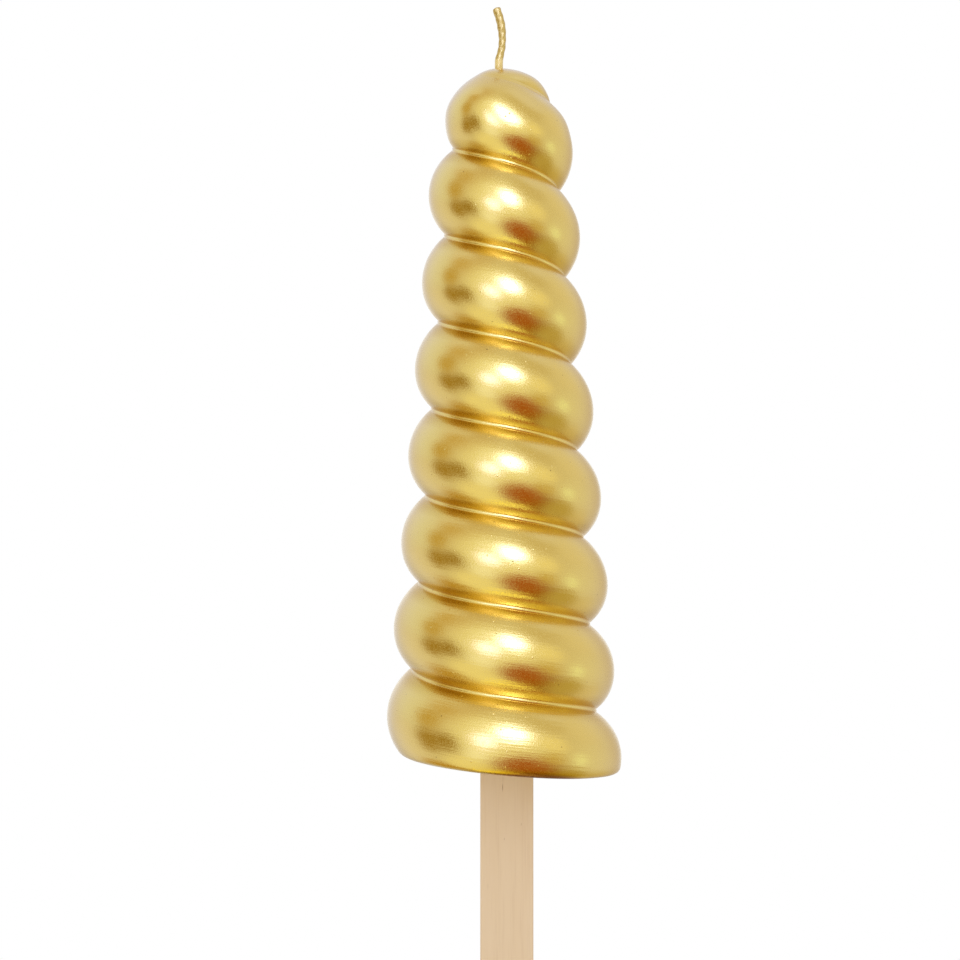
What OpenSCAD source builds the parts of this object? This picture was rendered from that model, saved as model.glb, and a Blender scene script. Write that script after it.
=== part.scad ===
// Horn-shaped celebration candle: a coiled wax horn with its wick, on a flat wooden stick.
// The origin is on the horn's axis, at its base. +Z is up, and -Y is the front.

/* [Horn] */
// Height of the wax from its base to its tip
horn_h = 123.1; // [100:0.1:150]
// Radius to the crest of the coils, at the base
base_r = 21.25; // [17:0.05:26]
// Radius to the crest of the coils, at the height of the tip
top_r = 11.45; // [9:0.05:15]
// Rise of the coil in one turn
pitch = 15.33; // [12:0.01:19]
// Height of the lowest groove at the front
first_groove = 13.2; // [6:0.1:20]
// Depth of the groove at the base
groove_base = 3.85; // [2:0.05:5]
// Depth of the groove at the height of the tip
groove_top = 3.25; // [2:0.05:4.5]
// Width of the narrow flat at the bottom of the groove
groove_flat = 1.05; // [0.3:0.05:1.5]
// Height over which the tip is rounded off
tip_h = 15.7; // [12:0.1:22]
// Fullness of the rounded tip, where 2 is an ellipse
tip_fullness = 2.1; // [2:0.1:3.5]
// Slant of the trimmed base, lower on the right
base_slant = 4.9; // [0:0.1:6]

/* [Wick] */
// Diameter of the wick
wick_d = 1.2; // [0.8:0.05:2]
// Distance of the wick from the horn's axis, to the left
wick_left = 0.65; // [0:0.05:1.5]

/* [Stick] */
// Length of the stick
stick_l = 114; // [93:0.5:140]
// Width of the stick, and the diameter of its round ends
stick_w = 9.4; // [7:0.1:11.5]
// Thickness of the stick
stick_t = 2; // [1.4:0.1:2.6]
// Length of stick that shows below the base
stick_out = 40; // [33:0.5:48]
// Distance of the stick from the horn's axis, to the right
stick_right = 0.75; // [0:0.05:1]

/* [Fits] */
// Gap between the stick's edges and its slot
slot_edge_gap = 0.2; // [0.05:0.01:0.3]
// Gap between the stick's broad faces and its slot
slot_face_gap = 0.05; // [0.02:0.01:0.2]
// Gap between the wick and its bore
wick_gap = 0.03; // [0.01:0.01:0.1]
// Solid wax between the top of the stick's slot and the foot of the wick's bore
wax_between = 2; // [1:0.5:6]

/* [Hidden] */
$fn = 64;

// Facets round the horn, and steps across the round back of one coil
columns = 48;
arc_steps = 9;
rows_per_turn = arc_steps + 1;

// Half the height of a coil's round back, between two groove flats
coil_half = (pitch - groove_flat) / 2;
// Height of one crest on the +X side, from which the others follow
crest_start = first_groove + 1.25 * pitch;
// Rows crowd together over this height at the top of the tip, and meet at the apex
crowd_h = 0.6 * tip_h;
shoulder = horn_h - crowd_h;
apex_climb = shoulder + crowd_h * PI / 2;
// A row that comes this close to the apex ends in it
apex_reach = 0.5;
// Depth below the origin that the untrimmed horn must reach all round
base_drop = base_r * tan(base_slant) + 1;
// Side of a block that is larger than the untrimmed foot of the horn
trim_size = 4 * base_r;

first_turn = floor((-base_drop - crest_start) / pitch);
last_turn = ceil((apex_climb + coil_half - crest_start) / pitch) + 1;
row_count = (last_turn - first_turn + 1) * rows_per_turn;

stick_top = stick_l - stick_out;
bore_foot = stick_top + slot_edge_gap + wax_between;

// Sides of the wick, and its route above the tip: how far to the right, and how high
wick_sides = 8;
wick_route = [
    [0, 1], [0.1, 1.6], [0.3, 2.4], [0.5, 3.3], [0.6, 4.4], [0.6, 5.5],
    [0.5, 6.7], [0.3, 7.9], [0, 9.1], [-0.3, 10.1], [-0.5, 10.8]
];

// A share of the full radius: 1 below the rounded tip and 0 at its top
function tip_share(z) =
    let (rise = max(0, min(1, (z - horn_h + tip_h) / tip_h)))
    pow(1 - pow(rise, tip_fullness), 1 / tip_fullness);

// Value at a height, on a straight line from the base to the tip
function tapered(at_base, at_top, z) = at_base + (at_top - at_base) * z / horn_h;

// How far the round back of a coil falls below its crest, at a height above or below the crest
function back_drop(from_crest, deep) =
    let (arc_r = (coil_half * coil_half + deep * deep) / (2 * deep))
    arc_r - sqrt(arc_r * arc_r - from_crest * from_crest);

// Radius of the horn at a height, on a row at a given height from its crest
function horn_r(z, from_crest) =
    let (share = tip_share(z), deep = tapered(groove_base, groove_top, z))
    share * (tapered(base_r, top_r, z) - share * share * back_drop(from_crest, deep));

// A row's height from the crest of its coil
function row_offset(row) = coil_half * (2 * (row % rows_per_turn) / arc_steps - 1);

// A row's climb at a column: rows fall by one pitch in a turn, so the coil is left-handed
function climb(column, row) =
    crest_start + row_offset(row)
    + pitch * (first_turn + floor(row / rows_per_turn) - column / columns);

// Height that a climb reaches: the same up to the shoulder, then levelling off at the apex
function height_of(c) =
    c < shoulder ? c : shoulder + crowd_h * sin(min(90, (c - shoulder) / crowd_h * 180 / PI));

function horn_point(column, row) =
    let (z = height_of(climb(column, row)), r = horn_r(z, row_offset(row)), a = 360 * column / columns)
    [r * cos(a), r * sin(a), z];

// Points in order: all columns, the start of the row that closes the last turn, the apex, the foot
grid_size = columns * row_count;
apex_index = grid_size + rows_per_turn;
foot_index = apex_index + 1;
horn_points = concat(
    [for (column = [0 : columns - 1], row = [0 : row_count - 1]) horn_point(column, row)],
    [for (row = [0 : rows_per_turn - 1]) horn_point(columns, row)],
    [[0, 0, horn_h], [0, 0, climb(columns, 0)]]
);

// Index of a grid point: a column past the last is the first one, a turn lower
function grid_index(column, row) =
    climb(column, row) > apex_climb - apex_reach ? apex_index
    : column < columns ? column * row_count + row
    : row < rows_per_turn ? grid_size + row
    : row - rows_per_turn;

function is_triangle(f) = f[0] != f[1] && f[1] != f[2] && f[2] != f[0];

// Two triangles between neighbouring columns and rows, without those that shrink to nothing
function cell_faces(column, row) =
    let (
        a = grid_index(column, row),
        b = grid_index(column + 1, row),
        c = grid_index(column + 1, row + 1),
        d = grid_index(column, row + 1)
    )
    [for (f = [[a, d, c], [a, c, b]]) if (is_triangle(f)) f];

horn_faces = concat(
    [for (column = [0 : columns - 1], row = [0 : row_count - 2]) each cell_faces(column, row)],
    [for (column = [0 : columns - 1]) [grid_index(column, 0), grid_index(column + 1, 0), foot_index]],
    [for (row = [0 : rows_per_turn - 1]) [grid_index(columns, row), grid_index(columns, row + 1), foot_index]]
);

// The wick's line as places across and heights, from its foot inside the wax to its cut end
wick_line = concat([[0, bore_foot + wick_gap]], [for (p = wick_route) [p[0], horn_h + p[1]]]);
wick_rings = len(wick_line);

// Direction of the wick at a ring, from the point before it to the point after it
function wick_way(ring) =
    let (step = wick_line[min(wick_rings - 1, ring + 1)] - wick_line[max(0, ring - 1)])
    step / norm(step);

function wick_point(ring, side) =
    let (
        way = wick_way(ring),
        a = 360 * side / wick_sides,
        across = wick_d / 2 * cos(a)
    )
    [wick_line[ring][0] + across * way[1], wick_d / 2 * sin(a), wick_line[ring][1] - across * way[0]];

function wick_index(ring, side) = ring * wick_sides + side % wick_sides;

// Two triangles between neighbouring sides and rings
function wick_cell(ring, side) =
    let (
        a = wick_index(ring, side),
        b = wick_index(ring, side + 1),
        c = wick_index(ring + 1, side + 1),
        d = wick_index(ring + 1, side)
    )
    [[a, d, c], [a, c, b]];

wick_points = [
    for (ring = [0 : wick_rings - 1], side = [0 : wick_sides - 1]) wick_point(ring, side)
];
wick_faces = concat(
    [for (ring = [0 : wick_rings - 2], side = [0 : wick_sides - 1]) each wick_cell(ring, side)],
    [for (side = [1 : wick_sides - 2]) [wick_index(0, 0), wick_index(0, side), wick_index(0, side + 1)]],
    [
        for (side = [1 : wick_sides - 2])
            let (end = wick_rings - 1)
            [wick_index(end, 0), wick_index(end, side + 1), wick_index(end, side)]
    ]
);

// Everything below the slanted base
module below_base() {
    rotate([0, base_slant, 0])
        translate([-trim_size / 2, -trim_size / 2, -trim_size])
            cube(trim_size);
}

// The stick's flat form, grown by the gaps of its slot
module stick_form(edge_gap, face_gap) {
    end_r = stick_w / 2;
    translate([stick_right, 0, 0])
        rotate([90, 0, 0])
            linear_extrude(height = stick_t + 2 * face_gap, center = true)
                union() {
                    translate([-end_r - edge_gap, end_r - stick_out])
                        square([stick_w + 2 * edge_gap, stick_l - stick_w]);
                    for (y = [end_r - stick_out, stick_top - end_r])
                        translate([0, y])
                            circle(r = end_r + edge_gap);
                }
}

// The bore that the wax closes round the wick
module wick_bore() {
    translate([-wick_left, 0, bore_foot])
        cylinder(r = wick_d / 2 + wick_gap, h = horn_h);
}

// Moulded wax body, trimmed at its base, with the stick's slot and the wick's bore
module wax_horn() {
    color("goldenrod")
        difference() {
            polyhedron(points = horn_points, faces = horn_faces, convexity = 10);
            below_base();
            stick_form(slot_edge_gap, slot_face_gap);
            wick_bore();
        }
}

// Wick, straight inside the wax and swaying once above the tip
module wick() {
    color("darkkhaki")
        translate([-wick_left, 0, 0])
            polyhedron(points = wick_points, faces = wick_faces, convexity = 4);
}

// Flat wooden stick with round ends
module stick() {
    color("burlywood")
        stick_form(0, 0);
}

wax_horn();
wick();
stick();
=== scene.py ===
"""Horn-shaped celebration candle: a gilded wax horn with its wick, on a flat birch stick.

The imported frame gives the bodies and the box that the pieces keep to. Each piece is modelled in
millimetres in the part's own frame, and its finished mesh is scaled to metres.
"""

import logging
import math
from dataclasses import dataclass, field
from enum import Enum

import bmesh
import bpy
from mathutils import Matrix, Vector, noise


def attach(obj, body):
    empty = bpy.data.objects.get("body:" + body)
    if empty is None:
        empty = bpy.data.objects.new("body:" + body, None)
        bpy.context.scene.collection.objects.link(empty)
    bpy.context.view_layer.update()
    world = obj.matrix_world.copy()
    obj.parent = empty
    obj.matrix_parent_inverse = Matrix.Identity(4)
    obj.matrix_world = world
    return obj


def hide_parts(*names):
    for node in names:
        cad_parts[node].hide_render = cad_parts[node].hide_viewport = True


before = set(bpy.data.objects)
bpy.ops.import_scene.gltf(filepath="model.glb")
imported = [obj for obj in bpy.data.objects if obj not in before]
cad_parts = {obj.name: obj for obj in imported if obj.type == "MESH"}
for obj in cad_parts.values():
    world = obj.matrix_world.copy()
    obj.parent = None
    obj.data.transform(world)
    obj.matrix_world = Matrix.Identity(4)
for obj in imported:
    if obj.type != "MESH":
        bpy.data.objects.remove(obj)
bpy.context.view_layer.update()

Tree = bpy.types.NodeTree
Socket = bpy.types.NodeSocket
Mesh = bmesh.types.BMesh

# Metres in a millimetre
MM = 0.001
# Distances in millimetres within which points are one, and within which they lie on a cut
WELD = 1e-4
ON_CUT = 1e-5
LOG = logging.getLogger("candle")


class Body(Enum):
    """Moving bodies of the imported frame."""

    HORN = "horn"
    STICK = "stick"


class Slot(Enum):
    """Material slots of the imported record."""

    GOLD_WAX = "gold_wax"
    GOLD_WICK = "gold_wick"
    BIRCH = "birch"


def linear(hex_colour: str) -> tuple[float, float, float, float]:
    """Turn the six hex digits of an sRGB colour into linear light, with an alpha of 1."""
    shares = [int(hex_colour[i : i + 2], 16) / 255 for i in (0, 2, 4)]
    return (*(c / 12.92 if c <= 0.04045 else ((c + 0.055) / 1.055) ** 2.4 for c in shares), 1.0)


def per_metre(size: float) -> float:
    """Texture scale at which a pattern's features are about this many millimetres wide."""
    return 1 / (size * MM)


def ramp(value: float, start: float, end: float) -> float:
    """Share of the way from a start to an end, held between 0 and 1."""
    return min(1.0, max(0.0, (value - start) / (end - start)))


def add_node(
    tree: Tree, kind: str, inputs: dict | None = None, **settings: object
) -> bpy.types.Node:
    """Add one node with its settings, its input values and the links into it.

    Args:
        tree: Node tree that takes the node.
        kind: Type of the node.
        inputs: Values by the name or number of the input, where a socket is linked.
        settings: Attributes of the node itself.

    Returns:
        The new node.
    """
    node = tree.nodes.new(kind)
    for name, value in settings.items():
        setattr(node, name, value)
    for key, value in (inputs or {}).items():
        if isinstance(value, Socket):
            tree.links.new(value, node.inputs[key])
        else:
            node.inputs[key].default_value = value
    return node


def new_material(name: str) -> tuple[bpy.types.Material, Tree]:
    """Make an empty node material.

    Args:
        name: Name of the material.

    Returns:
        The material and its node tree.
    """
    material = bpy.data.materials.new(name)
    material.use_nodes = True
    material.node_tree.nodes.clear()
    return material, material.node_tree


@dataclass(frozen=True)
class GoldLacquer:
    """Gold lacquer sprayed over moulded wax: bronze flakes lying flat in a clear binder.

    The flakes mirror their surroundings softly, the clear binder over them whitens the highlights
    and the edges, and the flakes' grain shows where a reflection fades. Painted shade makes the
    walls of the groove a deeper yellow, painted light makes the front left of their upper walls
    pale, and a painted brown shade lies on the rim of the base. The wax below also adds drag
    lines along the coil, a few pinholes and specks of overspray that catch the light.
    """

    name: str = "sprayed_gold_lacquer"
    light: str = "f0d06e"
    deep: str = "e8c65c"
    pit: str = "7d5a1c"
    # Colours of the painted shade on the groove walls, the painted light at the front left of
    # their upper walls and the painted brown shade on the rim, and how far the first one shows
    painted_shading: str = "d4a910"
    painted_light: str = "f9e88e"
    brown: str = "966228"
    painted_shade_share: float = 0.8
    # What is added to the roughness and to the binder for each unit of painted shading, which
    # is below none where light is painted
    painted_shading_roughness: float = 0.04
    painted_shading_binder: float = -0.25
    roughness: float = 0.23
    binder: float = 0.8
    binder_ior: float = 1.36
    binder_roughness: float = 0.18
    # Real flakes are about 0.03 mm across, and are drawn coarser so that their grain shows
    flake: float = 0.26
    flake_depth: float = 0.018
    # Scatter of the roughness, and the part of the flakes' noise that it runs over
    flake_scatter: float = 0.08
    flake_range: tuple[float, float] = (0.3, 0.7)
    drag_line: float = 0.45
    drag_depth: float = 0.04
    drag_stretch: float = 0.04
    # The drag lines are strongest at the base, and this share of them is left from this height up
    drag_left: float = 0.25
    drag_top: float = 60.0
    pinhole_spacing: float = 4.0
    pinhole: float = 0.2
    speck_spacing: float = 1.7
    speck: float = 0.18
    speck_height: float = 0.04

    @staticmethod
    def spots(tree: Tree, place: Socket, spacing: float, reach: float) -> Socket:
        """Scatter small round spots.

        Args:
            tree: Node tree of the material.
            place: Coordinates that the spots are scattered in.
            spacing: Distance between spots in millimetres.
            reach: Radius of a spot in millimetres.

        Returns:
            A socket that is 1 in the middle of a spot and 0 between spots.
        """
        cells = add_node(
            tree, "ShaderNodeTexVoronoi", {"Vector": place, "Scale": per_metre(spacing)}
        )
        return add_node(
            tree, "ShaderNodeMapRange",
            {
                "Value": cells.outputs["Distance"], "From Min": 0.0,
                "From Max": reach / spacing, "To Min": 1.0, "To Max": 0.0,
            },
            interpolation_type="SMOOTHSTEP",
        ).outputs["Result"]

    def material(self) -> bpy.types.Material:
        """Build the lacquer's material.

        Returns:
            The material.
        """
        material, tree = new_material(self.name)
        place = add_node(tree, "ShaderNodeTexCoord").outputs["Object"]
        flakes = add_node(
            tree, "ShaderNodeTexNoise",
            {"Vector": place, "Scale": per_metre(self.flake), "Detail": 2.0, "Roughness": 0.6},
        ).outputs["Fac"]
        across = add_node(tree, "ShaderNodeAttribute", attribute_name="across").outputs["Fac"]
        slow = add_node(
            tree, "ShaderNodeVectorMath", {0: place, 1: (self.drag_stretch,) * 3},
            operation="MULTIPLY",
        ).outputs[0]
        stacked = add_node(tree, "ShaderNodeCombineXYZ", {"Z": across}).outputs[0]
        along = add_node(tree, "ShaderNodeVectorMath", {0: slow, 1: stacked}).outputs[0]
        lines = add_node(
            tree, "ShaderNodeTexNoise",
            {"Vector": along, "Scale": per_metre(self.drag_line), "Detail": 3.0},
        ).outputs["Fac"]
        height = add_node(tree, "ShaderNodeSeparateXYZ", {0: place}).outputs["Z"]
        dragged = add_node(
            tree, "ShaderNodeMapRange",
            {
                "Value": height, "From Max": self.drag_top * MM,
                "To Min": 1.0, "To Max": self.drag_left,
            },
        ).outputs["Result"]
        lines = add_node(
            tree, "ShaderNodeMath", {0: lines, 1: dragged}, operation="MULTIPLY"
        ).outputs[0]
        pits = self.spots(tree, place, self.pinhole_spacing, self.pinhole)
        specks = self.spots(tree, place, self.speck_spacing, self.speck)
        # Painted shading: shade on the groove walls, light where it is below none, and a darker
        # brown shade on the rim where it is above one
        painted_shading = add_node(tree, "ShaderNodeAttribute", attribute_name="painted_shading").outputs["Fac"]
        painted_shade_mix = add_node(
            tree, "ShaderNodeMath", {0: painted_shading, 1: self.painted_shade_share}, operation="MULTIPLY"
        ).outputs[0]
        painted_light_mix = add_node(
            tree, "ShaderNodeMath", {0: painted_shading, 1: -1.0}, operation="MULTIPLY", use_clamp=True
        ).outputs[0]
        painted_brown_mix = add_node(
            tree, "ShaderNodeMath", {0: painted_shading, 1: 1.0}, operation="SUBTRACT", use_clamp=True
        ).outputs[0]
        # Each shade lies over those before it. A mix node takes colours at 6 and 7 and gives one
        # at 2.
        colour = linear(self.deep)
        for share, shade in (
            (flakes, self.light), (painted_shade_mix, self.painted_shading), (painted_light_mix, self.painted_light),
            (painted_brown_mix, self.brown), (pits, self.pit),
        ):
            colour = add_node(
                tree, "ShaderNodeMix", {0: share, 6: colour, 7: linear(shade)}, data_type="RGBA"
            ).outputs[2]
        least, most = self.flake_range
        gloss = add_node(
            tree, "ShaderNodeMapRange",
            {
                "Value": flakes, "From Min": least, "From Max": most,
                "To Min": self.roughness - self.flake_scatter,
                "To Max": self.roughness + self.flake_scatter,
            },
        ).outputs["Result"]
        gloss = add_node(
            tree, "ShaderNodeMath", {0: painted_shading, 1: self.painted_shading_roughness, 2: gloss},
            operation="MULTIPLY_ADD",
        ).outputs[0]
        binder = add_node(
            tree, "ShaderNodeMath", {0: painted_shading, 1: self.painted_shading_binder, 2: self.binder},
            operation="MULTIPLY_ADD", use_clamp=True,
        ).outputs[0]
        relief = None
        for rise, depth in (
            (lines, self.drag_depth), (specks, self.speck_height), (flakes, self.flake_depth),
        ):
            relief = add_node(
                tree, "ShaderNodeBump",
                {"Height": rise, "Strength": 1.0, "Distance": depth * MM}
                | ({"Normal": relief} if relief else {}),
            ).outputs["Normal"]
        shader = add_node(
            tree, "ShaderNodeBsdfPrincipled",
            {
                "Base Color": colour, "Metallic": 1.0,
                "Roughness": gloss, "Normal": relief,
                "Coat Weight": binder, "Coat IOR": self.binder_ior,
                "Coat Roughness": self.binder_roughness, "Coat Normal": relief,
            },
        )
        add_node(tree, "ShaderNodeOutputMaterial", {"Surface": shader.outputs["BSDF"]})
        return material


@dataclass(frozen=True)
class GildedCotton:
    """Braided cotton wick dipped in wax, with gold lacquer where the spray reached it.

    The braid shows as soft slanting lumps. Its foot, sheltered by the tip, stayed pale and matt.
    """

    name: str = "gilded_braided_cotton"
    light: str = "ecd280"
    deep: str = "ba943c"
    bare: str = "f0d68c"
    roughness: float = 0.36
    # How metallic the bare and the gilded cotton look
    bare_metal: float = 0.15
    gilded_metal: float = 0.8
    # Half the height over which the spray fades in
    spray_edge: float = 0.2
    yarn: float = 0.3
    yarn_depth: float = 0.02

    def material(self, bare_top: float) -> bpy.types.Material:
        """Build the wick's material.

        Args:
            bare_top: Height in millimetres below which the cotton stayed pale.

        Returns:
            The material.
        """
        material, tree = new_material(self.name)
        place = add_node(tree, "ShaderNodeTexCoord").outputs["Object"]
        yarn = add_node(
            tree, "ShaderNodeTexNoise",
            {"Vector": place, "Scale": per_metre(self.yarn), "Detail": 2.0},
        ).outputs["Fac"]
        gold = add_node(
            tree, "ShaderNodeMix", {0: yarn, 6: linear(self.deep), 7: linear(self.light)},
            data_type="RGBA",
        ).outputs[2]
        height = add_node(tree, "ShaderNodeSeparateXYZ", {0: place}).outputs["Z"]
        sprayed = add_node(
            tree, "ShaderNodeMapRange",
            {
                "Value": height, "From Min": (bare_top - self.spray_edge) * MM,
                "From Max": (bare_top + self.spray_edge) * MM,
            },
        ).outputs["Result"]
        cover = add_node(
            tree, "ShaderNodeMix", {0: sprayed, 6: linear(self.bare), 7: gold}, data_type="RGBA"
        ).outputs[2]
        shine = add_node(
            tree, "ShaderNodeMapRange",
            {"Value": sprayed, "To Min": self.bare_metal, "To Max": self.gilded_metal},
        ).outputs["Result"]
        fibres = add_node(
            tree, "ShaderNodeBump",
            {"Height": yarn, "Strength": 1.0, "Distance": self.yarn_depth * MM},
        ).outputs["Normal"]
        shader = add_node(
            tree, "ShaderNodeBsdfPrincipled",
            {
                "Base Color": cover, "Metallic": shine,
                "Roughness": self.roughness, "Normal": fibres,
            },
        )
        add_node(tree, "ShaderNodeOutputMaterial", {"Surface": shader.outputs["BSDF"]})
        return material


@dataclass(frozen=True)
class SandedBirch:
    """Plain birch veneer, cut flat and sanded.

    It is pale and matt, with slow warm bands, fine straight pores and a few brown pith flecks.
    """

    name: str = "sanded_birch"
    light: str = "e5cba8"
    warm: str = "dcbe96"
    pore: str = "c6a179"
    fleck: str = "8f6240"
    roughness: float = 0.62
    pore_width: float = 0.22
    pore_length: float = 9.0
    pore_depth: float = 0.015
    # Part of the noise that is a pore, and how dark a pore gets
    pore_range: tuple[float, float] = (0.5, 0.8)
    pore_share: float = 0.24
    band: float = 3.0
    band_length: float = 30.0
    # Share of a fleck that is evenly dark
    fleck_core: float = 0.2

    @staticmethod
    def streaks(tree: Tree, place: Socket, width: float, length: float) -> Socket:
        """Draw a noise out along the stick.

        Args:
            tree: Node tree of the material.
            place: Coordinates of the stick.
            width: Width of a streak in millimetres.
            length: Length of a streak in millimetres.

        Returns:
            The noise's value.
        """
        along = add_node(
            tree, "ShaderNodeMapping", {"Vector": place, "Scale": (1.0, 1.0, width / length)}
        )
        return add_node(
            tree, "ShaderNodeTexNoise",
            {"Vector": along.outputs["Vector"], "Scale": per_metre(width), "Detail": 3.0},
        ).outputs["Fac"]

    def material(self, flecks: tuple[tuple[float, ...], ...]) -> bpy.types.Material:
        """Build the wood's material.

        Args:
            flecks: Place across and place along the stick of each pith fleck, its half width, its
                half length and its strength, in millimetres.

        Returns:
            The material.
        """
        material, tree = new_material(self.name)
        place = add_node(tree, "ShaderNodeTexCoord").outputs["Object"]
        pores = self.streaks(tree, place, self.pore_width, self.pore_length)
        bands = self.streaks(tree, place, self.band, self.band_length)
        least, most = self.pore_range
        dark = add_node(
            tree, "ShaderNodeMapRange",
            {"Value": pores, "From Min": least, "From Max": most, "To Max": self.pore_share},
        ).outputs["Result"]
        shades = [(bands, self.warm), (dark, self.pore)]
        for across, along, half_width, half_length, strength in flecks:
            centred = add_node(
                tree, "ShaderNodeVectorMath", {0: place, 1: (-across * MM, 0, -along * MM)}
            ).outputs[0]
            slim = add_node(
                tree, "ShaderNodeVectorMath",
                {0: centred, 1: (per_metre(half_width), 0, per_metre(half_length))},
                operation="MULTIPLY",
            ).outputs[0]
            away = add_node(tree, "ShaderNodeVectorMath", {0: slim}, operation="LENGTH")
            mark = add_node(
                tree, "ShaderNodeMapRange",
                {
                    "Value": away.outputs["Value"], "From Min": self.fleck_core, "From Max": 1.0,
                    "To Min": strength, "To Max": 0.0,
                },
            ).outputs["Result"]
            shades.append((mark, self.fleck))
        wood = linear(self.light)
        for share, shade in shades:
            wood = add_node(
                tree, "ShaderNodeMix", {0: share, 6: wood, 7: linear(shade)}, data_type="RGBA"
            ).outputs[2]
        relief = add_node(
            tree, "ShaderNodeBump",
            {"Height": pores, "Strength": 1.0, "Distance": self.pore_depth * MM},
        ).outputs["Normal"]
        shader = add_node(
            tree, "ShaderNodeBsdfPrincipled",
            {"Base Color": wood, "Roughness": self.roughness, "Normal": relief},
        )
        add_node(tree, "ShaderNodeOutputMaterial", {"Surface": shader.outputs["BSDF"]})
        return material


def verts_in(geometry: list) -> list[bmesh.types.BMVert]:
    """Vertices among what an operator on a mesh returns."""
    return [g for g in geometry if isinstance(g, bmesh.types.BMVert)]


def open_edges_in(geometry: list) -> list[bmesh.types.BMEdge]:
    """Edges with a face on one side only, among what an operator on a mesh returns."""
    return [g for g in geometry if isinstance(g, bmesh.types.BMEdge) and g.is_boundary]


def cut(bm: Mesh, point: Vector, normal: Vector, **cleared: bool) -> None:
    """Cut a mesh along a plane.

    Args:
        bm: Mesh that is cut.
        point: Point of the plane.
        normal: Normal of the plane.
        cleared: Which side is cleared away, if any.
    """
    bmesh.ops.bisect_plane(
        bm, geom=bm.verts[:] + bm.edges[:] + bm.faces[:], dist=ON_CUT, plane_co=point,
        plane_no=normal, **cleared,
    )


def finish_piece(
    name: str, bm: Mesh, crease: float, material: bpy.types.Material, body: Body,
    node: str,
) -> bpy.types.Object:
    """Close a piece's mesh, dress it and hand it to the frame.

    Args:
        name: Name of the piece.
        bm: Mesh in millimetres. It is used up.
        crease: Angle in degrees from which an edge is drawn sharp.
        material: Finish of the piece.
        body: Body that the piece rides.
        node: Node of the frame that the piece stands for.

    Returns:
        The finished object.
    """
    bmesh.ops.remove_doubles(bm, verts=bm.verts, dist=WELD)
    bmesh.ops.recalc_face_normals(bm, faces=bm.faces)
    for face in bm.faces:
        face.smooth = True
    for edge in bm.edges:
        edge.smooth = edge.calc_face_angle(0.0) < math.radians(crease)
    bmesh.ops.scale(bm, vec=(MM, MM, MM), verts=bm.verts)
    mesh = bpy.data.meshes.new(name)
    bm.to_mesh(mesh)
    bm.free()
    mesh.materials.append(material)
    piece = bpy.data.objects.new(name, mesh)
    bpy.context.scene.collection.objects.link(piece)
    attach(piece, body.value)
    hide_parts(node)
    LOG.info("%s: %d faces on %s", name, len(mesh.polygons), body.value)
    return piece


@dataclass
class BirchStick:
    """Flat wooden stick with round ends, sanded at its edges."""

    length: float = 113.96
    width: float = 9.4
    thickness: float = 2.0
    # Length below the base, and place to the right of the horn's axis
    shown: float = 39.98
    right: float = 0.75
    # Room that the horn's slot leaves at the stick's edges and at its broad faces
    edge_gap: float = 0.2
    face_gap: float = 0.05
    edge_round: float = 0.3
    edge_segments: int = 3
    end_segments: int = 64
    crease: float = 35.0
    # Pith flecks: place across and along, half width, half length and strength
    flecks: tuple[tuple[float, ...], ...] = (
        (0.0, -4.5, 0.1, 0.9, 0.8), (0.05, -3.0, 0.05, 1.1, 0.4), (0.3, -13.6, 0.1, 0.3, 0.4),
        (3.3, -11.0, 0.09, 0.35, 0.35), (-2.6, -22.0, 0.06, 0.9, 0.25),
    )
    finish: SandedBirch = field(default_factory=SandedBirch)

    @property
    def top(self) -> float:
        """Height of the stick's hidden end."""
        return self.length - self.shown

    def build(self) -> bpy.types.Object:
        """Model the stick: a disc drawn out to its length, thickened and rounded at its edges.

        Returns:
            The stick.
        """
        bm = bmesh.new()
        disc = bmesh.ops.create_circle(
            bm, cap_ends=True, segments=self.end_segments, radius=self.width / 2,
            matrix=Matrix.Rotation(math.radians(90), 4, "X"),
        )["verts"]
        half_straight = (self.length - self.width) / 2
        for vert in disc:
            vert.co.z += half_straight if vert.co.z > WELD else -half_straight
        blade = bmesh.ops.extrude_face_region(bm, geom=bm.faces[:])["geom"]
        bmesh.ops.translate(bm, verts=verts_in(blade), vec=(0, self.thickness, 0))
        rim = [e for e in bm.edges if abs(e.verts[0].co.y - e.verts[1].co.y) < WELD]
        bmesh.ops.bevel(
            bm, geom=rim, offset=self.edge_round, segments=self.edge_segments, profile=0.5,
            affect="EDGES", clamp_overlap=True, material=-1,
        )
        bmesh.ops.translate(
            bm, verts=bm.verts,
            vec=(self.right, -self.thickness / 2, self.length / 2 - self.shown),
        )
        wood = self.finish.material(self.flecks)
        return finish_piece("birch_stick", bm, self.crease, wood, Body.STICK, "stick")


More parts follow.
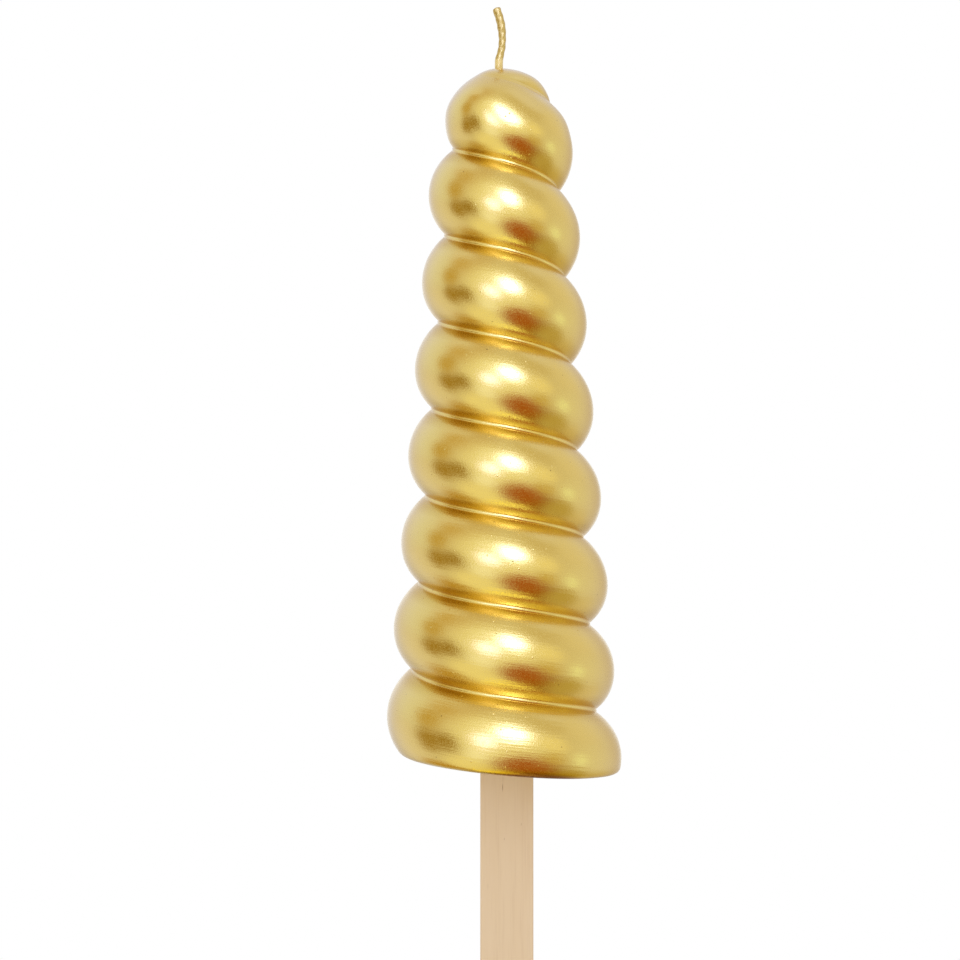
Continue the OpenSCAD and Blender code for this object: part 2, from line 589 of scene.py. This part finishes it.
@dataclass
class GildedWick:
    """Braided wick, straight inside the wax and swaying once above the tip."""

    diameter: float = 1.2
    # Place to the left of the horn's axis, and room that the bore leaves
    left: float = 0.65
    gap: float = 0.03
    # Height that the route starts from, and height of the bore's foot
    horn_height: float = 123.1
    foot: float = 76.2
    # Route above the tip: how far to the right, and how high
    route: tuple[tuple[float, float], ...] = (
        (0, 1), (0.1, 1.6), (0.3, 2.4), (0.5, 3.3), (0.6, 4.4), (0.6, 5.5),
        (0.5, 6.7), (0.3, 7.9), (0, 9.0), (-0.3, 9.9), (-0.5, 10.45),
    )
    sides: int = 24
    strands: int = 3
    strand_height: float = 0.03
    lay: float = 4.2
    ring_step: float = 0.12
    # Height of the pale foot above the tip
    bare_foot: float = 1.3
    # Length over which the cut end is rounded, and share of the girth that its flat part keeps
    end_round: float = 0.36
    end_flat: float = 0.45
    # Extra girth of the waxed foot and of the loosened end, where that end starts, and over what
    # height it loosens
    foot_girth: float = 0.2
    end_girth: float = 0.16
    loose_from: float = 5.0
    loose_over: float = 2.0
    crease: float = 60.0
    # Points between the bore's mouth and the first point of the route
    mouth: tuple[float, ...] = (-0.5, -0.2, 0.3)
    finish: GildedCotton = field(default_factory=GildedCotton)

    def line(self) -> list[Vector]:
        """Points along the middle of the wick, close together where it stands free.

        Returns:
            Points from the foot to the cut end.
        """
        across = [Vector((x - self.left, 0, self.horn_height + z)) for x, z in self.route]
        heights = [self.foot + self.gap, *(self.horn_height + z for z in self.mouth)]
        points = [Vector((-self.left, 0, z)) for z in heights]
        stops = [points[-1], *across, across[-1] * 2 - across[-2]]
        for i in range(1, len(stops) - 2):
            before, start, end, after = stops[i - 1 : i + 3]
            steps = max(2, round((end - start).length / self.ring_step))
            for step in range(steps):
                t = step / steps
                points.append(
                    0.5 * (
                        2 * start + (end - before) * t
                        + (2 * before - 5 * start + 4 * end - after) * t * t
                        + (3 * start - before - 3 * end + after) * t * t * t
                    )
                )
        points.append(across[-1])
        return points

    def build(self) -> bpy.types.Object:
        """Model the wick: a ring pushed along its line, with the strands turning round it.

        Returns:
            The wick.
        """
        bm = bmesh.new()
        line = self.line()
        ring = bmesh.ops.create_circle(bm, segments=self.sides, radius=1.0)["verts"]
        bmesh.ops.contextual_create(bm, geom=ring)
        angles = [math.atan2(v.co.y, v.co.x) for v in ring]
        whole = sum((b - a).length for a, b in zip(line, line[1:]))
        run = 0.0
        for number, point in enumerate(line):
            if number:
                run += (point - line[number - 1]).length
                edges = {e for v in ring for e in v.link_edges if all(o in ring for o in e.verts)}
                grown = bmesh.ops.extrude_edge_only(bm, edges=list(edges))["geom"]
                fresh = verts_in(grown)
                ring = [
                    next(e.other_vert(v) for e in v.link_edges if e.other_vert(v) in fresh)
                    for v in ring
                ]
            ahead = line[min(number + 1, len(line) - 1)] - line[max(number - 1, 0)]
            turn = Vector((0, 0, 1)).rotation_difference(ahead)
            above = point.z - self.horn_height
            free = ramp(above, self.bare_foot, 2 * self.bare_foot)
            waxed = ramp(above, self.mouth[0], self.mouth[1]) * (1 - free)
            loose = ramp(above, self.loose_from, self.loose_from + self.loose_over)
            girth = 1 + self.foot_girth * waxed + self.end_girth * loose
            to_end = min(1.0, (whole - run) / self.end_round)
            rounded = self.end_flat + (1 - self.end_flat) * math.sqrt(1 - (1 - to_end) ** 2)
            full = girth * self.diameter / 2 * rounded
            for vert, angle in zip(ring, angles):
                wave = math.cos(self.strands * (angle - 2 * math.pi * run / self.lay))
                reach = full + self.strand_height * free * (1 + wave)
                out = Vector((reach * math.cos(angle), reach * math.sin(angle), 0))
                vert.co = point + turn @ out
        bmesh.ops.contextual_create(bm, geom=ring)
        cotton = self.finish.material(self.horn_height + self.bare_foot)
        return finish_piece(
            "gilded_wick", bm, self.crease, cotton, Body.HORN, "wick"
        )


@dataclass(frozen=True)
class Swell:
    """Place where the moulded wax is fuller, or slimmer, than a turned form.

    Its bearing from +X is in degrees, and its height, reach and amount are in millimetres.
    """

    bearing: float
    height: float
    reach: float
    amount: float
    narrowness: int

    def at(self, angle: float, z: float) -> float:
        """Growth of the radius in millimetres, at a bearing in radians and at a height."""
        facing = max(0.0, math.cos(angle - math.radians(self.bearing))) ** self.narrowness
        return self.amount * facing * math.exp(-(((z - self.height) / self.reach) ** 2))


@dataclass
class GildedHorn:
    """Moulded wax horn: a left-handed coil round a taper, with a round tip and a trimmed base."""

    stick: BirchStick
    wick: GildedWick
    height: float = 122.6
    base_radius: float = 21.2
    top_radius: float = 11.4
    pitch: float = 15.33
    # Height of the lowest groove at the front
    first_groove: float = 12.8
    groove_base: float = 3.85
    groove_top: float = 3.25
    groove_floor: float = 0.55
    # Rounded bead of wax along the floor of the groove
    bead: float = 0.08
    # Walls of the groove where shade is painted: from how far off the crest, and over
    # what distance that grows
    painted_shade_starts: float = 5.2
    painted_shade_grows: float = 1.6
    # What is left of that painted shade at the front, below and above the crest: in which
    # direction, how sharply, and how much, where less than none paints light instead
    painted_shading_front: tuple[tuple[float, int, float], ...] = ((-75, 8, -1.0), (-90, 2, 0.55))
    # Rim of the base where shade is painted: how much, up to what height, between which places
    # from left to right that grows, and from which share of the radius outward
    rim_painted_shade: float = 1.2
    rim_painted_shade_height: float = 1.65
    rim_painted_shade_grows: tuple[float, float] = (-9.0, 4.0)
    rim_from: float = 0.8
    # Its middle, where a darker brown shade is painted: how much more, where, and how far to each
    # side
    rim_brown_shade: float = 2.1
    rim_brown_shade_at: float = 3.5
    rim_brown_shade_reach: float = 10.0
    tip_height: float = 15.7
    tip_fullness: float = 2.1
    # Share of the tip's height over which the coil levels off
    tip_level: float = 0.6
    base_slant: float = 4.9
    rim_round: float = 0.7
    # Where the rounding of the rim is cut into rows, as shares of its height
    rim_rows: tuple[float, ...] = (0.0, 0.06, 0.2, 0.45, 1.0)
    # Lift of the wax at the wick, the reach of that lift, and the share of the top's radius
    # within which the tip leans towards the wick
    collar: float = 0.05
    collar_reach: float = 0.6
    wick_lean: float = 0.5
    # Brow at the front left, its flat front and the edge above it, shoulder and crown on the
    # right, waist and crown on the left, and the foot at the front left
    swells: tuple[Swell, ...] = (
        Swell(-110, 116.2, 5.0, 1.4, 4),
        Swell(-90, 112.6, 3.2, -0.22, 20),
        Swell(-108, 117.3, 2.2, 0.3, 4),
        Swell(0, 114.4, 3.2, 0.85, 2),
        Swell(0, 120.8, 1.6, 0.35, 2),
        Swell(180, 112.0, 3.6, -0.8, 2),
        Swell(180, 119.8, 2.2, 0.28, 2),
        Swell(-135, 1.0, 3.0, 0.45, 4),
    )
    # Slow unevenness of the moulded wax: its height, and the distance from rise to rise
    uneven: float = 0.12
    uneven_span: float = 11.0
    columns: int = 160
    arc_rows: int = 22
    crease_row: float = 0.12
    bead_rows: int = 6
    # Share of the base's size at which a ring of vertices lies in it
    base_ring: float = 0.6
    # Columns of the slot, rows of its round end, and the share of that end before its flat top
    slot_columns: int = 8
    slot_rows: int = 8
    slot_round: float = 0.98
    crease: float = 60.0
    finish: GoldLacquer = field(default_factory=GoldLacquer)

    def __post_init__(self) -> None:
        """Work out the values that follow from the driving sizes."""
        self.coil_half = (self.pitch - self.groove_floor) / 2
        # On the +X side the coil is a quarter turn past the front
        self.crest_start = self.first_groove + 1.25 * self.pitch
        self.crowd = self.tip_level * self.tip_height
        self.shoulder = self.height - self.crowd
        self.apex_climb = self.shoulder + self.crowd * math.pi / 2
        self.slope = math.tan(math.radians(self.base_slant))

    def tapered(self, at_base: float, at_top: float, z: float) -> float:
        """Value at a height on a straight line from base to tip."""
        return at_base + (at_top - at_base) * z / self.height

    def share(self, z: float) -> float:
        """Share of the full radius: 1 below the rounded tip and 0 at its top."""
        rise = ramp(z, self.height - self.tip_height, self.height)
        return (1 - rise**self.tip_fullness) ** (1 / self.tip_fullness)

    def radius(self, z: float, from_crest: float) -> float:
        """Radius of the horn.

        Args:
            z: Height.
            from_crest: Height above or below the crest of the coil, before the tip levels it off.

        Returns:
            The radius, with the groove fading out towards the top of the tip.
        """
        share = self.share(z)
        deep = self.tapered(self.groove_base, self.groove_top, z)
        arc = (self.coil_half**2 + deep**2) / (2 * deep)
        off = min(self.coil_half, abs(from_crest))
        drop = arc - math.sqrt(arc * arc - off * off)
        if abs(from_crest) > self.coil_half:
            aside = (self.pitch / 2 - abs(from_crest)) / (self.pitch / 2 - self.coil_half)
            drop -= self.bead * (1 - aside * aside)
        return share * (self.tapered(self.base_radius, self.top_radius, z) - share**2 * drop)

    def height_of(self, climb: float) -> float:
        """Height that a climb reaches: the same up to the shoulder, then levelling off.

        Args:
            climb: Height on the coil before the tip levels it off.

        Returns:
            The height.
        """
        if climb < self.shoulder:
            return climb
        return self.shoulder + self.crowd * math.sin(
            min(math.pi / 2, (climb - self.shoulder) / self.crowd)
        )

    def climb_at(self, radius: float) -> float:
        """Climb at which the rounded tip has narrowed to a small radius.

        Args:
            radius: Radius of the tip there.

        Returns:
            Height on the coil before the tip levels it off.
        """
        rise = (1 - (radius / self.top_radius) ** self.tip_fullness) ** (1 / self.tip_fullness)
        z = self.height - self.tip_height * (1 - rise)
        return self.shoulder + self.crowd * math.asin((z - self.shoulder) / self.crowd)

    def profile_climbs(self) -> list[float]:
        """Climbs of the profile's points on the +X side, crowded at the creases of the groove.

        Returns:
            Climbs from below the base to above the tip.
        """
        near = self.coil_half - self.crease_row
        floor_row = self.groove_floor / self.bead_rows
        turn = [-self.coil_half]
        turn += [near * (2 * i / self.arc_rows - 1) for i in range(self.arc_rows + 1)]
        turn += [self.coil_half + floor_row * i for i in range(self.bead_rows)]
        low = math.floor((-self.base_radius * self.slope - 1 - self.crest_start) / self.pitch)
        high = math.ceil((self.apex_climb + self.pitch - self.crest_start) / self.pitch)
        crests = [self.crest_start + n * self.pitch for n in range(low, high + 1)]
        return [crest + offset for crest in crests for offset in turn]

    def wind_coil(self, bm: Mesh) -> None:
        """Screw the profile round the axis, falling by one pitch, and give it the horn's form.

        Args:
            bm: Empty mesh that takes the coil.
        """
        climbs = self.profile_climbs()
        tip = bmesh.ops.create_vert(bm, co=(self.base_radius, 0, climbs[0]))["vert"][0]
        for climb in climbs[1:]:
            tip = bmesh.ops.extrude_vert_indiv(bm, verts=[tip])["verts"][0]
            tip.co.z = climb
        bmesh.ops.spin(
            bm, geom=bm.verts[:] + bm.edges[:], cent=(0, 0, 0), axis=(0, 0, 1),
            dvec=(0, 0, -self.pitch / self.columns), angle=2 * math.pi, steps=self.columns,
            use_merge=False, use_duplicate=False,
        )
        bmesh.ops.remove_doubles(bm, verts=bm.verts, dist=10 * WELD)
        bore = self.wick.diameter / 2 + self.wick.gap
        cut(bm, Vector((0, 0, self.climb_at(bore))), Vector((0, 0, 1)), clear_outer=True)
        lean_reach = self.wick_lean * self.top_radius - bore
        across = bm.verts.layers.float.new("across")
        painted_shading = bm.verts.layers.float.new("painted_shading")
        for vert in bm.verts:
            angle = math.atan2(vert.co.y, vert.co.x)
            phase = vert.co.z - self.crest_start + self.pitch * angle / (2 * math.pi)
            from_crest = (phase + self.pitch / 2) % self.pitch - self.pitch / 2
            z = self.height_of(vert.co.z)
            reach = self.radius(z, from_crest)
            to_wick = max(0.0, 1 - (reach - bore) / lean_reach) ** 2
            rise = self.collar * math.exp(-(((reach - bore) / self.collar_reach) ** 2))
            way = Vector((math.cos(angle), math.sin(angle), 0))
            wave = noise.noise((way * reach + Vector((0, 0, z))) / self.uneven_span)
            swell = sum(s.at(angle, z) for s in self.swells)
            reach += (1 - to_wick) * (self.uneven * (wave - 0.5) + swell)
            vert.co = way * reach + Vector((-self.wick.left * to_wick, 0, z + rise))
            vert[across] = abs(from_crest) * MM
            # Painted shade on the walls of the groove, fading out towards the tip
            wall = ramp(abs(from_crest), self.painted_shade_starts, self.painted_shade_starts + self.painted_shade_grows)
            # At the front the painted shade fades, and below the crest at the front left it turns
            # into painted light
            middle, sharpness, left = self.painted_shading_front[from_crest > 0]
            facing = max(0.0, math.cos(angle - math.radians(middle))) ** sharpness
            wall *= 1 - (1 - left) * facing
            on_bead = abs(from_crest) > self.coil_half - 10 * WELD
            vert[painted_shading] = 0.0 if on_bead else wall * self.share(z) ** 3

    def trim_base(self, bm: Mesh) -> None:
        """Cut the base along its slant and round its rim.

        Args:
            bm: Mesh of the untrimmed coil.
        """
        slant = math.radians(self.base_slant)
        up = Vector((math.sin(slant), 0, math.cos(slant)))
        for part in self.rim_rows:
            cut(bm, up * self.rim_round * part, up, clear_inner=part == 0.0)
        for vert in bm.verts:
            over = vert.co.dot(up)
            if over < self.rim_round:
                left = 1 - max(0.0, over) / self.rim_round
                inward = self.rim_round * (1 - math.sqrt(1 - left * left))
                out = Vector((vert.co.x, vert.co.y, 0))
                vert.co -= out.normalized() * inward

    def open_slot(self, bm: Mesh) -> None:
        """Close the base round the stick's slot and draw the slot up into the wax.

        Args:
            bm: Mesh of the trimmed coil.
        """
        half_w = self.stick.width / 2 + self.stick.edge_gap
        half_t = self.stick.thickness / 2 + self.stick.face_gap
        rim = [e for e in bm.edges if e.is_boundary and e.verts[0].co.z < self.height / 2]
        inner = bmesh.ops.extrude_edge_only(bm, edges=rim)["geom"]
        bmesh.ops.scale(bm, vec=(self.base_ring,) * 3, verts=verts_in(inner))
        ring_edges = open_edges_in(inner)
        slot = bmesh.ops.create_grid(
            bm, x_segments=self.slot_columns, y_segments=2, size=1.0
        )["verts"]
        bmesh.ops.delete(
            bm, geom=list({f for v in slot for f in v.link_faces}), context="FACES_ONLY"
        )
        inside = [v for v in slot if max(abs(v.co.x), abs(v.co.y)) < 1 - WELD]
        bmesh.ops.delete(bm, geom=inside, context="VERTS")
        slot = [v for v in slot if v.is_valid]
        for vert in slot:
            x = self.stick.right + half_w * vert.co.x
            vert.co = (x, half_t * vert.co.y, -x * self.slope)
        slot_edges = list({e for v in slot for e in v.link_edges})
        bmesh.ops.bridge_loops(bm, edges=ring_edges + slot_edges)
        straight = self.stick.top - self.stick.width / 2
        narrowed = 1.0
        for row in range(self.slot_rows + 1):
            turn = self.slot_round * math.pi / 2 * row / self.slot_rows
            grown = bmesh.ops.extrude_edge_only(bm, edges=slot_edges)["geom"]
            slot_edges = open_edges_in(grown)
            for vert in verts_in(grown):
                aside = (vert.co.x - self.stick.right) * math.cos(turn) / narrowed
                vert.co.x = self.stick.right + aside
                vert.co.z = straight + half_w * math.sin(turn)
            narrowed = math.cos(turn)
        bmesh.ops.contextual_create(bm, geom=slot_edges)

    def paint_rim_shade(self, bm: Mesh) -> None:
        """Mark the rim of the base where a brown shade is painted.

        Args:
            bm: Mesh of the closed coil.
        """
        painted_shading = bm.verts.layers.float["painted_shading"]
        for vert in bm.verts:
            over = vert.co.z + vert.co.x * self.slope
            if over < self.rim_painted_shade_height:
                on_rim = math.hypot(vert.co.x, vert.co.y) > self.rim_from * self.base_radius
                low = ramp(over, self.rim_painted_shade_height, 0) * ramp(vert.co.x, *self.rim_painted_shade_grows)
                # Painted shade on the rim, with a darker brown middle
                aside = (vert.co.x - self.rim_brown_shade_at) / self.rim_brown_shade_reach
                most = self.rim_painted_shade + self.rim_brown_shade * max(0.0, 1 - aside**2)
                vert[painted_shading] = max(vert[painted_shading], most * low) if on_rim else 0.0

    def open_bore(self, bm: Mesh) -> None:
        """Draw the wick's bore down into the wax and close its foot.

        Args:
            bm: Mesh of the coil.
        """
        mouth = [e for e in bm.edges if e.is_boundary and e.verts[0].co.z > self.height / 2]
        grown = bmesh.ops.extrude_edge_only(bm, edges=mouth)["geom"]
        for vert in verts_in(grown):
            vert.co.z = self.wick.foot
        bmesh.ops.contextual_create(bm, geom=open_edges_in(grown))

    def build(self) -> bpy.types.Object:
        """Model the horn.

        Returns:
            The horn.
        """
        bm = bmesh.new()
        self.wind_coil(bm)
        self.trim_base(bm)
        self.open_slot(bm)
        self.paint_rim_shade(bm)
        self.open_bore(bm)
        gold = self.finish.material()
        return finish_piece(
            "gilded_horn", bm, self.crease, gold, Body.HORN, "wax_horn"
        )


def toward(azimuth: float, elevation: float) -> Vector:
    """Direction from the candle, where azimuth 0 is at the camera and grows to the right."""
    a, e = math.radians(azimuth), math.radians(elevation)
    return Vector((math.sin(a) * math.cos(e), -math.cos(a) * math.cos(e), math.sin(e)))


@dataclass(frozen=True)
class SoftCard:
    """Round card in the room that the gold mirrors.

    It is even up to its inner angle from the middle and fades out up to its outer one, in degrees.
    """

    name: str
    azimuth: float
    elevation: float
    inner: float
    outer: float
    colour: tuple[float, float, float]


@dataclass(frozen=True)
class Softbox:
    """Round area lamp that faces the candle, with its distance and width in metres."""

    name: str
    azimuth: float
    elevation: float
    distance: float
    width: float
    watts: float

    def place(self, aim: Vector) -> None:
        """Set the lamp up.

        Args:
            aim: Point that the lamp faces, in metres.
        """
        lamp = bpy.data.lights.new(self.name, "AREA")
        lamp.shape = "DISK"
        lamp.size = self.width
        lamp.energy = self.watts
        spot = bpy.data.objects.new(self.name, lamp)
        way = toward(self.azimuth, self.elevation)
        spot.location = aim + way * self.distance
        spot.rotation_euler = way.to_track_quat("Z", "Y").to_euler()
        # The gold mirrors the room's cards, and not the lamps
        spot.visible_glossy = False
        bpy.context.scene.collection.objects.link(spot)


@dataclass
class Studio:
    """White studio: floor, lamps, room and the camera at the picture's viewing angle."""

    # Camera from the outline and the groove lines: its distance in millimetres, and in pixels its
    # focal length, the picture's width, the candle's axis, its base and the horizon
    distance: float = 342.9
    focal_px: float = 1934.0
    frame_px: float = 960.0
    axis_px: float = 502.56
    base_px: float = 761.3
    horizon_px: float = 514.8
    sensor: float = 36.0
    near_clip: float = 10.0
    # Room under the stick when it is drawn right out
    floor_below: float = 115.0
    floor_radius: float = 3000.0
    floor_segments: int = 64
    paper: str = "f4f4f2"
    paper_roughness: float = 0.9
    # The floor fades to the white backdrop between these distances from the candle
    floor_fades: tuple[float, float] = (140.0, 340.0)
    # Light of the room on matt surfaces, and the grey of it that the gold shows between the cards
    fill: float = 0.82
    room: tuple[float, float, float] = (0.77, 0.78, 0.92)
    # Edges of the gold take on the white backdrop between these cosines from straight behind
    edge_white: tuple[float, float] = (0.9, 0.985)
    # Height that the lamps face
    lamp_aim: float = 60.0
    lamps: tuple[Softbox, ...] = (
        Softbox("key_softbox", 10, 31, 0.8, 0.35, 0.4),
        Softbox("front_softbox", -15, 12, 0.8, 0.34, 0.5),
        Softbox("low_bounce", 0, -14, 0.8, 0.5, 0.8),
    )
    # Cards that only the gold shows: bright windows and tables, and dark flags between them
    cards: tuple[SoftCard, ...] = (
        SoftCard("back_floor", 180, -50, 20, 60, (0.62, 0.60, 0.60)),
        SoftCard("back_right", 158, 0, 5, 38, (0.66, 0.60, 0.54)),
        SoftCard("left_wall", -106, 36, 15, 44, (0.84, 0.93, 1.26)),
        SoftCard("left_floor", -109, -18, 10, 32, (0.84, 0.87, 1.14)),
        SoftCard("right_wall", 107, 30, 8, 27, (0.82, 0.83, 0.96)),
        SoftCard("right_floor", 93, -9, 6, 30, (0.82, 0.86, 1.06)),
        SoftCard("right_corner", 126, -40, 5, 22, (0.76, 0.73, 0.68)),
        SoftCard("upper_left_shade", -62, 60, 10, 36, (0.70, 0.63, 0.60)),
        SoftCard("upper_left_light", -97, 62, 4, 18, (0.84, 0.88, 1.16)),
        SoftCard("upper_right_shade", 66, 50, 6, 24, (0.70, 0.67, 0.66)),
        SoftCard("upper_right_light", 99, 59, 4, 18, (0.82, 0.86, 1.20)),
        SoftCard("front_fill", -6, 13, 20, 60, (0.98, 1.05, 1.18)),
        SoftCard("left_flag_arc", -76, 50, 3, 15, (0.66, 0.54, 0.34)),
        SoftCard("left_flag_top", -82, 25, 3, 20, (0.60, 0.46, 0.18)),
        SoftCard("left_flag", -80, -5, 3, 20, (0.39, 0.26, 0.03)),
        SoftCard("left_flag_end", -57.5, -1.5, 3, 18.5, (0.36, 0.24, 0.03)),
        SoftCard("table_glow", -46, -45, 12, 30, (1.00, 1.04, 1.04)),
        SoftCard("low_left_flag", -102, -53, 3, 25, (0.54, 0.35, 0.04)),
        SoftCard("window_strip", -26, -16, 4, 17, (1.12, 1.27, 1.90)),
        SoftCard("amber_flag", 46, -16, 4, 18, (0.68, 0.58, 0.34)),
        SoftCard("brown_flag", 50, -56, 8, 37, (0.33, 0.15, 0.01)),
        SoftCard("lower_right_flag", 80, -47, 8, 26, (0.56, 0.48, 0.24)),
        SoftCard("brown_flag_end", 17, -35, 3, 31, (0.43, 0.13, 0.02)),
        SoftCard("table_edge", -20, -79, 13, 24, (1.30, 1.26, 0.50)),
        SoftCard("side_glow", 80, -13, 2, 13, (1.00, 1.20, 1.40)),
        SoftCard("right_glow", 50, 14, 4, 20, (1.00, 1.02, 1.00)),
        SoftCard("window_top", -14, 36, 3, 18, (1.06, 1.18, 1.55)),
        SoftCard("second_window", -15.5, 11, 3, 16, (2.0, 2.4, 6.4)),
        SoftCard("key_window", 13, 29, 4, 19.5, (3.2, 4.0, 10.0)),
        SoftCard("underside", 180, -70, 8, 21, (0.30, 0.22, 0.08)),
    )

    def add_camera(self) -> None:
        """Place the level camera in front of the candle."""
        camera = bpy.data.cameras.new("picture_camera")
        camera.sensor_width = self.sensor
        camera.lens = self.focal_px / self.frame_px * self.sensor
        camera.shift_y = (self.horizon_px - self.frame_px / 2) / self.frame_px
        camera.clip_start = self.near_clip * MM
        per_px = self.distance / self.focal_px
        eye = bpy.data.objects.new("picture_camera", camera)
        eye.location = Vector((
            -(self.axis_px - self.frame_px / 2) * per_px, -self.distance,
            (self.base_px - self.horizon_px) * per_px,
        )) * MM
        eye.rotation_euler = (math.radians(90), 0, 0)
        bpy.context.scene.collection.objects.link(eye)
        bpy.context.scene.camera = eye

    def add_floor(self) -> None:
        """Lay a plain pale floor below the lowest reach of the stick."""
        bm = bmesh.new()
        bmesh.ops.create_circle(
            bm, cap_ends=True, segments=self.floor_segments, radius=self.floor_radius * MM
        )
        bmesh.ops.translate(bm, verts=bm.verts, vec=(0, 0, -self.floor_below * MM))
        mesh = bpy.data.meshes.new("studio_floor")
        bm.to_mesh(mesh)
        bm.free()
        material, tree = new_material("matt_white_paper")
        paper = add_node(
            tree, "ShaderNodeBsdfPrincipled",
            {"Base Color": linear(self.paper), "Roughness": self.paper_roughness},
        )
        place = add_node(tree, "ShaderNodeTexCoord").outputs["Object"]
        level = add_node(
            tree, "ShaderNodeVectorMath", {0: place, 1: (1, 1, 0)}, operation="MULTIPLY"
        ).outputs[0]
        away = add_node(tree, "ShaderNodeVectorMath", {0: level}, operation="LENGTH")
        start, end = self.floor_fades
        far = add_node(
            tree, "ShaderNodeMapRange",
            {"Value": away.outputs["Value"], "From Min": start * MM, "From Max": end * MM},
            interpolation_type="SMOOTHSTEP",
        ).outputs["Result"]
        seen = add_node(tree, "ShaderNodeLightPath").outputs["Is Camera Ray"]
        fade = add_node(
            tree, "ShaderNodeMath", {0: far, 1: seen}, operation="MULTIPLY"
        ).outputs[0]
        white = add_node(tree, "ShaderNodeEmission", {"Color": (1, 1, 1, 1), "Strength": 1.0})
        surface = add_node(
            tree, "ShaderNodeMixShader",
            {0: fade, 1: paper.outputs["BSDF"], 2: white.outputs["Emission"]},
        )
        # From below the floor can be looked through, so that the candle's base shows
        below = add_node(tree, "ShaderNodeNewGeometry").outputs["Backfacing"]
        clear = add_node(tree, "ShaderNodeBsdfTransparent").outputs["BSDF"]
        sheet = add_node(
            tree, "ShaderNodeMixShader", {0: below, 1: surface.outputs["Shader"], 2: clear}
        )
        add_node(tree, "ShaderNodeOutputMaterial", {"Surface": sheet.outputs["Shader"]})
        mesh.materials.append(material)
        floor = bpy.data.objects.new("studio_floor", mesh)
        # The gold mirrors the room and its cards, and not the paper
        floor.visible_glossy = False
        bpy.context.scene.collection.objects.link(floor)

    def light_room(self) -> None:
        """Fill the room with soft light, with the cards that the gold mirrors."""
        world = bpy.data.worlds.new("white_studio")
        world.use_nodes = True
        tree = world.node_tree
        tree.nodes.clear()
        way = add_node(tree, "ShaderNodeTexCoord").outputs["Generated"]
        room = (*self.room, 1)
        for card in self.cards:
            near = add_node(
                tree, "ShaderNodeVectorMath", {0: way, 1: toward(card.azimuth, card.elevation)},
                operation="DOT_PRODUCT", label=card.name,
            )
            cover = add_node(
                tree, "ShaderNodeMapRange",
                {
                    "Value": near.outputs["Value"],
                    "From Min": math.cos(math.radians(card.outer)),
                    "From Max": math.cos(math.radians(card.inner)),
                },
                interpolation_type="SMOOTHSTEP",
            )
            room = add_node(
                tree, "ShaderNodeMix",
                {0: cover.outputs["Result"], 6: room, 7: (*card.colour, 1)}, data_type="RGBA",
            ).outputs[2]
        rays = add_node(tree, "ShaderNodeLightPath").outputs
        # The cards are for the gold as it is seen, and not for what it throws on matt surfaces
        direct = add_node(
            tree, "ShaderNodeMath", {0: rays["Diffuse Depth"], 1: 0.5}, operation="LESS_THAN"
        ).outputs[0]
        shown = add_node(
            tree, "ShaderNodeMath", {0: rays["Is Glossy Ray"], 1: direct}, operation="MULTIPLY"
        ).outputs[0]
        mirrored = add_node(
            tree, "ShaderNodeMix", {0: shown, 6: (*[self.fill] * 3, 1), 7: room}, data_type="RGBA"
        ).outputs[2]
        back = add_node(
            tree, "ShaderNodeVectorMath", {0: way, 1: (0, 1, 0)}, operation="DOT_PRODUCT"
        ).outputs["Value"]
        start, end = self.edge_white
        behind = add_node(
            tree, "ShaderNodeMapRange", {"Value": back, "From Min": start, "From Max": end}
        ).outputs["Result"]
        grazed = add_node(
            tree, "ShaderNodeMath", {0: rays["Is Glossy Ray"], 1: behind}, operation="MULTIPLY"
        ).outputs[0]
        straight = add_node(
            tree, "ShaderNodeMath",
            {0: rays["Is Camera Ray"], 1: rays["Is Transmission Ray"]}, operation="MAXIMUM",
        ).outputs[0]
        backdrop = add_node(
            tree, "ShaderNodeMath", {0: straight, 1: grazed}, operation="MAXIMUM"
        ).outputs[0]
        seen = add_node(
            tree, "ShaderNodeMix", {0: backdrop, 6: mirrored, 7: (1, 1, 1, 1)}, data_type="RGBA"
        ).outputs[2]
        light = add_node(tree, "ShaderNodeBackground", {"Color": seen, "Strength": 1.0})
        add_node(tree, "ShaderNodeOutputWorld", {"Surface": light.outputs["Background"]})
        bpy.context.scene.world = world

    def build(self) -> None:
        """Set up the whole studio."""
        self.add_camera()
        self.add_floor()
        self.light_room()
        for lamp in self.lamps:
            lamp.place(Vector((0, 0, self.lamp_aim * MM)))
        bpy.context.scene.view_settings.view_transform = "Standard"


def main() -> None:
    """Build the studio and the candle."""
    logging.basicConfig(level=logging.INFO, format="%(name)s: %(message)s")
    Studio().build()
    stick, wick = BirchStick(), GildedWick()
    stick.build()
    wick.build()
    GildedHorn(stick, wick).build()


if __name__ == "__main__":
    main()
